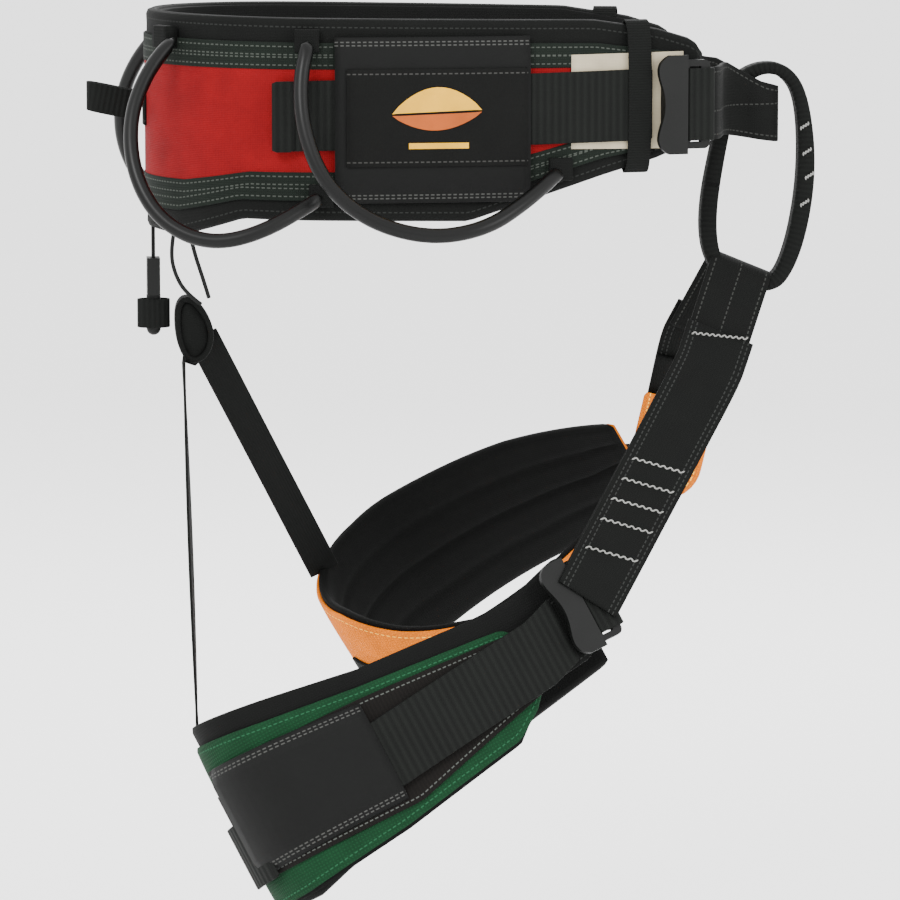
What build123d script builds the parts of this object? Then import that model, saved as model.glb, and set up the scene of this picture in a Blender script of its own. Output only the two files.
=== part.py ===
from build123d import *
from math import acos, cos, radians, sin, sqrt, tan
import os

# Climbing saddle: a padded waist belt and two padded leg loops, joined at the
# front by a sewn ring of webbing and at the rear by light risers on a hook.
# Frame: +X is the wearer's front, +Y the wearer's left, +Z up; millimetres.
# The origin is the middle of the waist opening, level with the belt's webbing.

# ---- driving dimensions ----
WEB = 44.0                 # load-bearing webbing, width
WEB_T = 2.2                # and thickness
REACH = 260.0              # longer than any piece, for cutting tools
AIR = 0.3                  # air between plies that move on each other

# A hoop is seen from above as a rear arc and two long side arcs that meet at
# the front: rear arc's centre x, rear radius, side radius.
BELT = (-67.0, 106.0, 800.0)
RIGHT_LOOP = (-89.0, 54.0, 438.0)
LEFT_LOOP = (-52.0, 64.0, 248.0)

LINER_T = 2.0              # waist liner
BELT_PAD = 10.0            # waist liner and foam together
LEG_LINER_T = 6.0
LEG_SHELL_T = 4.0
BELT_END = 165.0           # front end of the waist padding

BUCKLE_X = 148.0           # waist buckle's middle
BUCKLE_Z = 5.0
BUCKLE_LIFT = 5.2          # underside of the buckle above the padding
FRAME_T = 3.8
PLATE_T = 3.4

TUBE_D = 9.0               # gear loop tube
RING_W = 17.0              # belay loop webbing, width
RING_T = 7.0               # and thickness of its plies
NOSE_R = 9.7               # inside radius of the leg bridge's fold
BRIDGE_T = 2.8
BRIDGE_LEG = 60.0
RIGHT_SPLAY = 25.0         # degrees that each side of the bridge leans out
LEFT_SPLAY = 35.0
LAP = 18.0                 # overlap of a leg strap on the bridge
STRAP_T = 2.2
BUCKLE_REACH = 39.0        # from a leg buckle's middle to the end of its strap
RISER_W = 20.0
RISER_T = 1.6
CORD_D = 2.5
HOOK_X = -169.5


# ---- shared shapes ----
def hoop_face(hoop, offset):
    """Face inside a hoop's outline, grown outward by offset."""
    middle, rear, side = hoop
    radius = side + offset
    sweep = acos((side - rear) / radius)

    def on_side(angle, sign):
        return middle + radius * sin(angle), sign * (radius * cos(angle) - side + rear)

    rear_arc = ThreePointArc(on_side(0, -1), (middle - rear - offset, 0), on_side(0, 1))
    left_arc = ThreePointArc(on_side(0, 1), on_side(sweep / 2, 1), on_side(sweep, 1))
    right_arc = ThreePointArc(on_side(sweep, -1), on_side(sweep / 2, -1), on_side(0, -1))
    return make_face(rear_arc + left_arc + right_arc)


def side_y(hoop, x, offset=0.0):
    """Half width of a hoop at x, forward of its rear arc."""
    middle, rear, side = hoop
    return sqrt((side + offset) ** 2 - (x - middle) ** 2) - side + rear


def silhouette(outline, where="both", radius=0.0):
    """Cutting tool with an outline in x and z, through one or both sides."""
    if radius:
        edge = FilletPolyline(*outline, radius=radius, close=True)
    else:
        edge = Polyline(*outline, close=True)
    face = Plane.XZ * make_face(edge)
    if where == "both":
        return extrude(face, amount=REACH, both=True)
    return extrude(face, amount=REACH if where == "right" else -REACH)


def wrap(hoop, inner, outer, outline, where="both", radius=0.0):
    """Ply that follows a hoop, from one offset to the other, cut to an outline."""
    ring = extrude(hoop_face(hoop, outer) - hoop_face(hoop, inner), amount=REACH, both=True)
    return ring & silhouette(outline, where, radius)


def box_outline(x0, x1, z0, z1):
    return [(x0, z0), (x1, z0), (x1, z1), (x0, z1)]


def strip(start, along, normal, length, width, thick):
    """Flat strip that starts at a point; its outer face is thick above it."""
    plane = Plane(origin=start, x_dir=along, z_dir=normal)
    return plane * Box(length, width, thick, align=(Align.MIN, Align.CENTER, Align.MIN))


def tube(points, radii, diameter):
    """Round tube along straight runs joined by tangent arcs."""
    path = FilletPolyline(*points, radius=radii)
    end = Plane(origin=path @ 0, z_dir=path % 0)
    return sweep(end * Circle(diameter / 2), path=path)


def arc_radii(points):
    """Largest tangent arc at each corner of a route of straight runs."""
    radii = []
    for a, b, c in zip(points, points[1:], points[2:]):
        run_in, run_out = Vector(b) - Vector(a), Vector(c) - Vector(b)
        turn = radians(run_in.get_angle(run_out))
        radii.append(0.45 * min(run_in.length, run_out.length) / tan(turn / 2))
    return radii


def mirrored(shape):
    return mirror(shape, about=Plane.XZ)


def save(name, shape):
    solids = shape.solids()
    body = solids[0] if len(solids) == 1 else Compound(children=solids)
    export_step(body, f"parts/{name}.step")


def save_pair(stem, shape):
    save(f"{stem}_right", shape)
    save(f"{stem}_left", mirrored(shape))


# ---- waist belt ----
PAD_OUTLINE = [
    (-190, 61), (95, 57), (135, 51), (BELT_END, 42), (BELT_END, -18), (135, -28),
    (100, -38), (18, -64), (-120, -62), (-155, -74), (-190, -74),
]
TRIM_UPPER = [(-190, 46), (95, 43), (150, 36), (150, 26), (95, 28), (-190, 29)]
TRIM_LOWER = [
    (-190, -59), (-155, -59), (-120, -50), (18, -51), (100, -27), (140, -20),
    (140, -11), (95, -13), (20, -33), (-115, -33), (-152, -40), (-190, -40),
]
PANEL_END = 83.0
PANEL_OUTLINE = [
    (-190, 29), (PANEL_END, 28), (PANEL_END, -16), (20, -33), (-115, -33), (-152, -40), (-190, -40),
]
SLEEVE = (-64.0, 54.0, -52.0, 48.0)     # x from, x to, z from, z to
LABEL = (-57.0, 52.0, -30.0, 29.0)
TAG = (80.0, 150.0, -22.0, 37.0)
KEEPER = (114.0, 129.0)
TAIL_OUTLINE = [(-101, -20.5), (130, -16.5), (130, 27), (-101, 21.5)]
TUNNEL_OUTLINE = [(-80, -22.5), (70, -20.5), (70, 27.5), (-80, 24)]


def waist_layers():
    web_outline = box_outline(-190, 160, -WEB / 2, WEB / 2)
    web_slot = wrap(BELT, -WEB_T - 0.2, 0, web_outline)
    save("waist_liner", wrap(BELT, -BELT_PAD, LINER_T - BELT_PAD, PAD_OUTLINE, radius=8))
    save("waist_pad", wrap(BELT, LINER_T - BELT_PAD, 0, PAD_OUTLINE, radius=8) - web_slot)
    save("waist_web", wrap(BELT, -WEB_T - 0.1, -0.1, box_outline(-190, 159, -21.9, 21.9)))
    save("red_panel", wrap(BELT, 0, 1.1, PANEL_OUTLINE))
    save("trim_upper", wrap(BELT, 0, 1.6, TRIM_UPPER))
    save("trim_lower", wrap(BELT, 0, 1.6, TRIM_LOWER))


def sleeve():
    """Flat pocket on the belt's side; the webbing tail slides through it."""
    block = wrap(BELT, 1.7, 6.4, box_outline(*SLEEVE), "right", radius=3)
    return block - wrap(BELT, 1.7, 5.0, TUNNEL_OUTLINE, "right")


def elastic_keeper():
    """Elastic band right round the padding, the webbing and its tail."""
    x0, x1 = KEEPER
    band = wrap(BELT, -BELT_PAD - 1.5, 6.4, box_outline(x0, x1, -36.6, 56.4), "right")
    hole = wrap(BELT, -BELT_PAD - 0.3, 5.2, box_outline(x0 - 1, x1 + 1, -35.4, 55.2), "right")
    return band - hole


def waist_tail():
    """Free end of the waist webbing; it keeps the side arc's curve to its end."""
    middle, rear, side = BELT
    centre = Location((middle, side - rear, 0))
    disc = Circle(side + 4.5) - Circle(side + 2.3)
    return extrude(centre * disc, amount=REACH, both=True) & silhouette(TAIL_OUTLINE, "right")


# ---- buckles: local x along the webbing towards the front, y across, z outward ----
FRAME_BOX = (-14.0, 17.0, 27.0)         # rear edge, front edge, half height
SLOTS = ((-9.0, -2.5), (3.5, 11.0))
SLOT_HALF = 23.0


def buckle_frame():
    rear, front, half = FRAME_BOX
    plate = RectangleRounded(front - rear, 2 * half, 4.0)
    plate = Pos((front + rear) / 2, 0) * plate
    for low, high in SLOTS:
        plate -= Pos((low + high) / 2, 0) * Rectangle(high - low, 2 * SLOT_HALF)
    return Pos(0, 0, BUCKLE_LIFT) * extrude(plate, amount=FRAME_T)


def buckle_plate():
    """Locking plate with a waved rear edge for the thumb."""
    wave = Spline((-11, 30), (-18, 22), (-15, 8), (-15, -8), (-18, -22), (-11, -30))
    front = Polyline((-11, -30), (1, -30), (1, 30), (-11, 30))
    body = extrude(make_face(wave + front), amount=PLATE_T)
    return Pos(0, 0, BUCKLE_LIFT + FRAME_T + AIR) * body


def buckle_wrap():
    """Webbing folded round the frame's front bar."""
    top = BUCKLE_LIFT + FRAME_T + AIR + WEB_T
    low = BUCKLE_LIFT - AIR - WEB_T
    outer = Polyline((4, top), (19.6, top), (19.6, low), (12, low), (12, low + WEB_T),
                     (19.6 - WEB_T, low + WEB_T), (19.6 - WEB_T, top - WEB_T), (4, top - WEB_T),
                     close=True)
    return extrude(Plane.XZ * make_face(outer), amount=WEB / 2, both=True)


def belt_buckle_plane():
    middle, rear, side = BELT
    reach = BUCKLE_X - middle
    run = sqrt(side ** 2 - reach ** 2) / side
    rise = reach / side
    origin = (BUCKLE_X, -side_y(BELT, BUCKLE_X), BUCKLE_Z)
    return Plane(origin=origin, x_dir=(run, rise, 0), z_dir=(rise, -run, 0))


def loop_buckle_plane(hoop, x, z):
    """Local plane of a leg buckle on the wall at y < 0 of a leg loop."""
    middle, rear, side = hoop
    rise = (x - middle) / side
    run = sqrt(1 - rise ** 2)
    return Plane(origin=(x, -side_y(hoop, x), z), x_dir=(run, rise, 0), z_dir=(rise, -run, 0))


# ---- gear loops: moulded tubes; their two ends are sewn to the belt ----
REAR_GEAR = [
    (-158.5, -68.5, 46), (-177, -82, 24), (-187, -97, -4), (-184, -112, -36), (-168, -123, -62),
    (-140, -130, -74), (-108, -130, -67), (-72, -117, -47),
]
FRONT_GEAR = [
    (-80, -116, 46), (-86, -125, 22), (-84, -134, -8), (-72, -141, -38), (-46, -145, -60),
    (-10, -146, -70), (24, -142, -65), (50, -127, -50), (73, -104, -33),
]


def gear_anchors():
    """Sewn tabs under the ends of all four gear loops."""
    tabs = []
    for route in (REAR_GEAR, FRONT_GEAR):
        for x, y, z in (route[0], route[-1]):
            middle, rear, side = BELT
            away = sqrt((x - middle) ** 2 + y ** 2) - rear if x < middle else -y - side_y(BELT, x)
            top = away - TUBE_D / 2 - AIR
            tab = wrap(BELT, 1.7, top, box_outline(x - 7, x + 7, z - 7, z + 7), "right")
            tabs += [tab, mirrored(tab)]
    return Compound(children=[solid for tab in tabs for solid in tab.solids()])


# ---- front strap: one run of webbing from buckle to buckle, pinched to a tunnel ----
FRONT_PATH = [
    (171.5, -71), (183.5, -13.5), (219, -11.8), (219, 11.8), (183.5, 13.5), (171.5, 71),
]
FRONT_RADII = [5, 7, 7, 5]
FRONT_OUTLINE = [(160, 27), (184, 27), (210, 13), (226, 9), (226, -25), (206, -22), (184, -18), (160, -17)]


def front_strap():
    band = trace(FilletPolyline(*FRONT_PATH, radius=FRONT_RADII), line_width=2.4)
    return extrude(band, amount=REACH, both=True) & silhouette(FRONT_OUTLINE)


# ---- belay loop: flat ring in the middle plane ----
RING_OUTER = [
    (163.5, -101.6), (185, 12), (203.5, 26), (225, 25.5),
    (239, 6), (244.5, -45), (234.5, -98), (216, -123.1),
]
RING_OUTER_R = [10, 16, 12, 14, 30, 60, 30, 10]
RING_INNER = [
    (175.6, -99), (192, 4), (206, 18.6), (221.5, 18.4),
    (231.5, 2), (233, -45), (225.5, -90), (213.5, -114.5),
]
RING_INNER_R = [4, 10, 6, 6, 20, 60, 25, 3]
RING_LOW = (Vector(193.2, 0, -110.0), Vector(0.926, 0, -0.379))   # strand held by the bridge
BRIDGE_W = 40.0


def belay_loop():
    outer = make_face(FilletPolyline(*RING_OUTER, radius=RING_OUTER_R, close=True))
    inner = make_face(FilletPolyline(*RING_INNER, radius=RING_INNER_R, close=True))
    return extrude(Plane.XZ * (outer - inner), amount=RING_W / 2, both=True)


# ---- leg bridge: webbing folded over the low strand of the ring ----
def bridge_plane():
    middle, strand = RING_LOW
    return Plane(origin=middle, x_dir=(0, 1, 0), z_dir=strand)


def bridge_points(radius):
    """Four points of the fold at one radius: two leg ends and two tangent points."""
    points = []
    for sign, splay in ((-1, radians(RIGHT_SPLAY)), (1, radians(LEFT_SPLAY))):
        touch = (sign * radius * cos(splay), radius * sin(splay))
        end = (touch[0] + sign * BRIDGE_LEG * sin(splay), touch[1] - BRIDGE_LEG * cos(splay))
        points.append((end, touch))
    return points


def leg_bridge():
    (right_in, right_touch_in), (left_in, left_touch_in) = bridge_points(NOSE_R)
    (right_out, right_touch), (left_out, left_touch) = bridge_points(NOSE_R + BRIDGE_T)
    outline = Line(right_in, right_out) + Line(right_out, right_touch)
    outline += ThreePointArc(right_touch, (0, NOSE_R + BRIDGE_T), left_touch)
    outline += Line(left_touch, left_out) + Line(left_out, left_in) + Line(left_in, left_touch_in)
    outline += ThreePointArc(left_touch_in, (0, NOSE_R), right_touch_in)
    outline += Line(right_touch_in, right_in)
    return extrude(bridge_plane() * make_face(outline), amount=BRIDGE_W / 2, both=True)


# ---- leg loops, each drawn with its outer wall at y < 0 ----
def loop_plane(origin, forward, up):
    """Plane of a leg loop; forward is squared to up."""
    up = Vector(up).normalized()
    forward = Vector(forward)
    forward = (forward - up * forward.dot(up)).normalized()
    return Plane(origin=origin, x_dir=forward, z_dir=up)


RIGHT_PLANE = loop_plane((2, -96, -361), (0.883, 0, 0.469), (-0.45, 0.25, 0.86))
LEFT_PLANE = loop_plane((62, 112, -301), (0.864, -0.10, 0.481), (-0.46, -0.44, 0.77))

RIGHT_LEG = {
    "hoop": RIGHT_LOOP,
    "plane": RIGHT_PLANE,
    "outer_liner": [(-160, 62), (-134, 58), (-92, 51), (-35, 41), (37, 36), (66, 36), (104, 48),
                    (104, 4), (62, -20), (32, -45), (-51, -59), (-121, -66), (-160, -66)],
    "inner_liner": [(-160, 62), (-134, 58), (-92, 42), (-40, 24), (10, 20), (104, 26),
                    (104, -24), (40, -33), (-40, -46), (-100, -60), (-121, -66), (-160, -66)],
    "outer_shell": [(-160, 50), (-98, 39), (-40, 31), (56, 22), (61, 15), (61, -20), (50, -31),
                    (32, -43), (-51, -57), (-121, -64), (-160, -64)],
    "inner_shell": [(-160, 50), (-110, 42), (-40, 20), (30, 17), (100, 20), (100, -22), (40, -30),
                    (-40, -43), (-100, -58), (-121, -64), (-160, -64)],
    "backing": [(-160, 32), (-98, 26), (-42, 24), (56, 17), (56, -24), (-37, -48), (-121, -46), (-160, -44)],
    "web": [(-160, 14), (-130, 14), (-44, 8), (64, 19), (100, 30),
            (100, -12), (90, -18), (-42, -35), (-130, -30), (-160, -30)],
    "inner_web": [(-160, 14), (-60, 4), (20, 4), (106, 18), (106, -20), (20, -38), (-60, -40), (-160, -30)],
    "pocket": [(-137, 30), (-44, 22), (-43, -43), (-135, -42.5)],
    "tail": [(-88, 8), (-44, 7.5), (64, 18.6), (84, 26), (84, -16), (64, -23), (-43, -35), (-88, -34)],
    "buckle": (98.0, 14.0),
    "riser_foot": (-139.5, -8.0, 65.0),
}
LEFT_LEG = {
    "hoop": LEFT_LOOP,
    "plane": LEFT_PLANE,
    "outer_liner": [(-130, 46), (-82, 42), (-26, 45), (32, 49), (103, 49), (103, -10), (75, -35),
                    (29, -53), (-57, -72), (-130, -70)],
    "inner_liner": [(-130, 46), (-107, 48), (-78, 33), (-31, 13), (10, 14), (98, 20), (98, -16),
                    (40, -30), (-31, -42), (-78, -60), (-130, -70)],
    "outer_shell": [(-130, 35), (-82, 31), (-26, 34), (28, 38), (98, 46), (102, 30), (102, -8),
                    (75, -32), (25, -49), (-57, -68), (-130, -68)],
    "inner_shell": [(-130, 35), (-107, 37), (-78, 28), (-31, 8), (10, 9), (98, 14), (98, -13),
                    (40, -27), (-31, -39), (-78, -57), (-130, -68)],
    "backing": [(-130, 22), (-50, 19), (36, 16), (36, -28), (-40, -46), (-130, -46)],
    "web": [(-130, 10), (-60, 2), (30, 10), (74, 14), (74, -30), (30, -34), (-60, -42), (-130, -34)],
    "inner_web": [(-130, 10), (-70, 6), (-31, 2), (20, 4), (82, 16),
                  (82, -22), (20, -32), (-31, -36), (-70, -38), (-130, -34)],
    "pocket": [(-108, 24), (-30, 18), (-30, -48), (-108, -48)],
    "tail": [(-51, 2), (30, 10), (58, 13), (58, -31), (30, -34), (-51, -42)],
    "buckle": (72.0, -9.0),
    "riser_foot": (-108.6, -23.0, 50.5),
}


def leg_pieces(leg):
    """Plies of one leg loop in its own plane, and its buckle's parts."""
    hoop = leg["hoop"]
    skin = LEG_SHELL_T
    liner = (wrap(hoop, -LEG_LINER_T, 0, leg["outer_liner"], "right")
             + wrap(hoop, -LEG_LINER_T, 0, leg["inner_liner"], "left"))
    shell = (wrap(hoop, 0, skin, leg["outer_shell"], "right")
             + wrap(hoop, 0, skin, leg["inner_shell"], "left"))
    web = (wrap(hoop, skin + 1.3, skin + 3.3, leg["web"], "right")
           + wrap(hoop, skin + 1.3, skin + 3.3, leg["inner_web"], "left"))
    pocket = wrap(hoop, skin + 1.3, skin + 7.0, leg["pocket"], "right")
    for ply in ("web", "tail"):
        pocket -= wrap(hoop, skin, skin + 5.9, leg[ply], "right")
    x, z = leg["buckle"]
    buckle = loop_buckle_plane(hoop, x, z)
    buckle = buckle.offset(skin)
    return {
        "leg_liner": liner,
        "leg_shell": shell,
        "leg_backing": wrap(hoop, skin, skin + 1.2, leg["backing"], "right"),
        "leg_web": web,
        "leg_pocket": pocket,
        "leg_tail": wrap(hoop, skin + 3.5, skin + 5.6, leg["tail"], "right"),
        "leg_buckle_frame": buckle * buckle_frame(),
        "leg_strap_wrap": buckle * buckle_wrap(),
        "leg_buckle_plate": buckle * buckle_plate(),
    }


def leg_strap(leg, sign, splay):
    """Strap sewn over one end of the bridge, then doubled as far as the leg buckle."""
    plane = bridge_plane()
    lean = radians(splay)

    def direction(u, v):
        return (plane.from_local_coords(Vector(u, v, 0)) - plane.origin).normalized()

    down = direction(sign * sin(lean), -cos(lean))
    out = direction(sign * cos(lean), sin(lean))
    start = plane.origin + out * (NOSE_R + BRIDGE_T + AIR) + down * (BRIDGE_LEG - LAP)
    bend = start + down * (LAP + 4)
    x, z = leg["buckle"]
    x += BUCKLE_REACH
    wall = sign * (side_y(leg["hoop"], x, LEG_SHELL_T) + BUCKLE_LIFT + FRAME_T)
    run = leg["plane"].from_local_coords(Vector(x, wall, z)) - bend
    length = run.length
    run = run.normalized()
    face = (out - run * out.dot(run)).normalized()
    lap = strip(start, down, out, LAP + 6, WEB, STRAP_T)
    outer = strip(bend, run, face, length, WEB, STRAP_T)
    inner = strip(bend + run * 8 - face * STRAP_T, run, face, length - 8, WEB, STRAP_T)
    return lap + outer + inner


def build_leg(name, leg, sign, splay):
    for stem, shape in leg_pieces(leg).items():
        local = shape if sign < 0 else mirrored(shape)
        save(f"{stem}_{name}", leg["plane"] * local)
    save(f"leg_strap_{name}", leg_strap(leg, sign, splay))


# ---- rear: hook on a short strap, and the risers that hang the leg loops ----
def drop_strap():
    return Pos(HOOK_X, 0, -84) * Box(2, 14, 18)


def drop_hook():
    """Moulded hook: a flat body for the strap above a round bar."""
    body = Pos(HOOK_X, 0, -105) * Box(8, 15, 23)
    bar = Pos(HOOK_X, 0, -127) * Cylinder(4.4, 21)
    return body + bar + Pos(HOOK_X, 0, -137.5) * Sphere(4.4)


def riser_loop():
    """Band of riser webbing caught on the hook's bar."""
    outer = SlotOverall(20, 13.2)
    inner = SlotOverall(17, 10.2)
    ring = extrude(outer - inner, amount=9, both=True)
    return Pos(HOOK_X, 0, -128) * ring


def riser_junction():
    """Folded webbing where both risers start."""
    fold = FilletPolyline((-157, -118), (-146, -114), (-131, -136), (-134, -156), (-147, -163), (-156, -148),
                          radius=5, close=True)
    return extrude(Plane.XZ * make_face(fold), amount=9, both=True)


def riser(top, leg, sign):
    x, y, z = leg["riser_foot"]
    foot = leg["plane"].from_local_coords(Vector(x, y if sign < 0 else -y, z))
    along = foot - Vector(top)
    view = Vector(1, 0, 0) if sign < 0 else Vector(0, -1, 0)
    normal = (view - along.normalized() * view.dot(along.normalized())).normalized()
    return strip(Vector(top), along.normalized(), normal, along.length, RISER_W, RISER_T)


CORD_SLACK = [(-158, -33, -76), (-160, -31, -88), (-157, -28, -102), (-150, -23, -114), (-141, -19, -121)]
CORD_TAUT = [(-150, -40, -68), (-146, -32, -86), (-140, -24, -104), (-136, -18.5, -117)]


def haul_loop():
    """Flat loop of webbing that narrows to a stitched neck at the belt."""
    corners = [(-177.8, -1.4), (-185, -6.5), (-209, -6.5), (-209, 6.5), (-185, 6.5), (-177.8, 1.4)]
    path = FilletPolyline(*corners, radius=[5, 5.5, 5.5, 5])
    outline = [(-170, -9), (-170, 11), (-214, 17), (-214, -1)]
    return extrude(trace(path, line_width=2.0), amount=40, both=True) & silhouette(outline)


def haul_anchor():
    patch = wrap(BELT, 1.2, 2.4, box_outline(-190, -150, -11, 13))
    return patch & Box(2 * REACH, 26, 2 * REACH)


def main():
    os.makedirs("parts", exist_ok=True)
    waist_layers()
    save_pair("sleeve", sleeve())
    save_pair("label", wrap(BELT, 6.4, 7.6, box_outline(*LABEL), "right"))
    save("info_tag", wrap(BELT, 1.7, 2.1, box_outline(*TAG), "right"))
    save_pair("elastic_keeper", elastic_keeper())
    save_pair("waist_tail", waist_tail())
    buckle = belt_buckle_plane()
    save_pair("waist_buckle_frame", buckle * buckle_frame())
    save_pair("waist_buckle_plate", buckle * buckle_plate())
    save_pair("waist_strap_wrap", buckle * buckle_wrap())
    save("front_strap", front_strap())
    for stem, route in (("gear_loop_rear", REAR_GEAR), ("gear_loop_front", FRONT_GEAR)):
        radii = arc_radii(route)
        print(stem, "bend radii", [round(r) for r in radii])
        save_pair(stem, tube(route, radii, TUBE_D))
    save("gear_loop_anchors", gear_anchors())
    save("haul_loop", haul_loop())
    save("haul_anchor", haul_anchor())
    save("belay_loop", belay_loop())
    save("leg_bridge", leg_bridge())
    build_leg("right", RIGHT_LEG, -1, RIGHT_SPLAY)
    build_leg("left", LEFT_LEG, 1, LEFT_SPLAY)
    save("drop_strap", drop_strap())
    save("drop_hook", drop_hook())
    save("riser_loop", riser_loop())
    save("riser_junction", riser_junction())
    save("riser_right", riser((-151.5, -9.6, -158), RIGHT_LEG, -1))
    save("riser_left", riser((-139, 11.5, -146), LEFT_LEG, 1))
    for name, route in (("keeper_cord_slack", CORD_SLACK), ("keeper_cord_taut", CORD_TAUT)):
        radii = arc_radii(route)
        print(name, "bend radii", [round(r) for r in radii])
        save(name, tube(route, radii, CORD_D))


main()
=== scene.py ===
import math
import bmesh
import bpy
import numpy as np
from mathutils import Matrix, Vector


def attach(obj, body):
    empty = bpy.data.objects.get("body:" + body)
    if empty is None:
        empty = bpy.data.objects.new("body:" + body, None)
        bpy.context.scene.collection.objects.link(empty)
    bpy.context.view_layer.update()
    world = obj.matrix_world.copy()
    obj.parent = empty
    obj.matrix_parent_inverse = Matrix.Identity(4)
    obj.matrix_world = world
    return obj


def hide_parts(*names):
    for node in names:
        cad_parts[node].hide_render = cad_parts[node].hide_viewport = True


# Climbing saddle. Lengths here are millimetres; the frame and the meshes are in metres.
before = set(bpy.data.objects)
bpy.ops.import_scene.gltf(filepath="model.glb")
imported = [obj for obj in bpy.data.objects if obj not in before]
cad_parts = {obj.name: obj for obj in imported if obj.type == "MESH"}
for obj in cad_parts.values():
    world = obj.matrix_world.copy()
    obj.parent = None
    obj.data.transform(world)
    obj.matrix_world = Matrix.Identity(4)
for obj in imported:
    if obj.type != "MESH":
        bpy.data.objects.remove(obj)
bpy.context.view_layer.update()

# ---- camera ----
LOOK_AT = Vector((0.015, 0.0, -0.216))
AZIMUTH, ELEVATION, DISTANCE = math.radians(-5.0), math.radians(7.4), 3.5
back = Vector((math.sin(AZIMUTH) * math.cos(ELEVATION), -math.cos(AZIMUTH) * math.cos(ELEVATION),
               math.sin(ELEVATION)))
camera = bpy.data.objects.new("camera", bpy.data.cameras.new("camera"))
camera.data.lens = 224.0
camera.data.sensor_width = 36.0
camera.location = LOOK_AT + back * DISTANCE
camera.rotation_euler = (-back).to_track_quat("-Z", "Y").to_euler()
bpy.context.scene.collection.objects.link(camera)
bpy.context.scene.camera = camera


# ---- shader helpers ----
class Value:
    """A shader socket that can be used in sums."""

    def __init__(self, tree, socket):
        self.tree, self.socket = tree, socket

    def math(self, operation, *others):
        node = self.tree.nodes.new("ShaderNodeMath")
        node.operation = operation
        for slot, item in zip(node.inputs, (self, *others)):
            if isinstance(item, Value):
                self.tree.links.new(item.socket, slot)
            else:
                slot.default_value = item
        return Value(self.tree, node.outputs[0])

    def __add__(self, other):
        return self.math("ADD", other)

    def __mul__(self, other):
        return self.math("MULTIPLY", other)

    def __sub__(self, other):
        return self.math("SUBTRACT", other)

    def __rsub__(self, other):
        return self.math("MULTIPLY_ADD", -1.0, other)

    __radd__, __rmul__ = __add__, __mul__


class Shader:
    """One material's node tree."""

    def __init__(self, name):
        self.material = bpy.data.materials.new(name)
        self.material.use_nodes = True
        self.tree = self.material.node_tree
        self.surface = self.tree.nodes["Principled BSDF"]

    def node(self, kind, settings=(), values=()):
        made = self.tree.nodes.new(kind)
        for key, item in dict(settings).items():
            setattr(made, key, item)
        for key, item in dict(values).items():
            if isinstance(item, Value):
                self.tree.links.new(item.socket, made.inputs[key])
            else:
                made.inputs[key].default_value = item
        return made

    def uv(self, name):
        source = self.node("ShaderNodeUVMap", {"uv_map": name})
        split = self.node("ShaderNodeSeparateXYZ", (), {"Vector": Value(self.tree, source.outputs[0])})
        return Value(self.tree, split.outputs[0]), Value(self.tree, split.outputs[1])

    def noise(self, scale, detail=3.0):
        spot = self.node("ShaderNodeTexCoord")
        made = self.node("ShaderNodeTexNoise", (), {"Vector": Value(self.tree, spot.outputs["Object"]),
                                                    "Scale": scale, "Detail": detail})
        return Value(self.tree, made.outputs[0])

    def mix(self, factor, first, second):
        made = self.node("ShaderNodeMix", {"data_type": "RGBA"})
        for slot, item in ((made.inputs[0], factor), (made.inputs[6], first), (made.inputs[7], second)):
            if isinstance(item, Value):
                self.tree.links.new(item.socket, slot)
            else:
                slot.default_value = item
        return Value(self.tree, made.outputs[2])

    def set(self, **sockets):
        for key, item in sockets.items():
            slot = self.surface.inputs[key.replace("_", " ")]
            if isinstance(item, Value):
                self.tree.links.new(item.socket, slot)
            else:
                slot.default_value = item

    def bump(self, height, depth):
        made = self.node("ShaderNodeBump", (), {"Height": height, "Strength": 1.0, "Distance": depth})
        self.set(Normal=Value(self.tree, made.outputs[0]))


def rgba(color):
    return (*color, 1.0)


def stripes(position, pitch):
    """0 to 1 wave along a position given in metres; pitch in millimetres."""
    return (position * (2000 * math.pi / pitch)).math("SINE") * 0.5 + 0.5


def dashes(along, across, rows, pitch=3.4, half=0.42):
    """1 on the stitches of rows at given distances across, in millimetres."""
    on = (along * (1000 / pitch)).math("FRACT").math("LESS_THAN", 0.62)
    total = None
    for row in rows:
        hit = (across - row * 0.001).math("ABSOLUTE").math("LESS_THAN", half * 0.001) * on
        total = hit if total is None else total.math("MAXIMUM", hit)
    return total


def cloth(name, color, across=0.9, along=0.9, ribs=0.0, rough=0.85, edge_rows=(), middle_rows=(),
          thread=(0.05, 0.055, 0.05), depth=0.00012, contrast=0.45):
    """Woven cloth. across and along are the weave's pitches, ribs a coarser pitch of cross ribs, all mm."""
    made = Shader(name)
    u, v = made.uv("run")
    weave = stripes(u, along) * stripes(v, across)
    if ribs:
        weave = stripes(u, ribs) * 0.8 + weave * 0.2
    shade = made.noise(60) * 0.5 + weave * contrast
    dark = rgba([c * 0.38 for c in color])
    lit = rgba([min(1.0, c * 1.05) for c in color])
    base = made.mix(shade, dark, lit)
    height = weave
    stitches = []
    if edge_rows:
        stitches.append(dashes(u, made.uv("hem")[1], edge_rows))
    if middle_rows:
        stitches.append(dashes(u, v, middle_rows))
    for stitch in stitches:
        base = made.mix(stitch, base, rgba(thread))
        height = height + stitch * 1.5
    made.set(Base_Color=base, Roughness=rough)
    made.surface.inputs["Specular IOR Level"].default_value = 0.12
    made.bump(height, depth)
    return made.material


def plastic(name, color, rough, grain=0.0):
    made = Shader(name)
    speck = made.noise(900)
    made.set(Base_Color=made.mix(speck * 0.5, rgba(color), rgba([c * 1.6 for c in color])),
             Roughness=made.noise(40) * 0.15 + rough)
    made.surface.inputs["Specular IOR Level"].default_value = 0.16
    made.bump(speck, grain or 0.00002)
    return made.material


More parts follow.
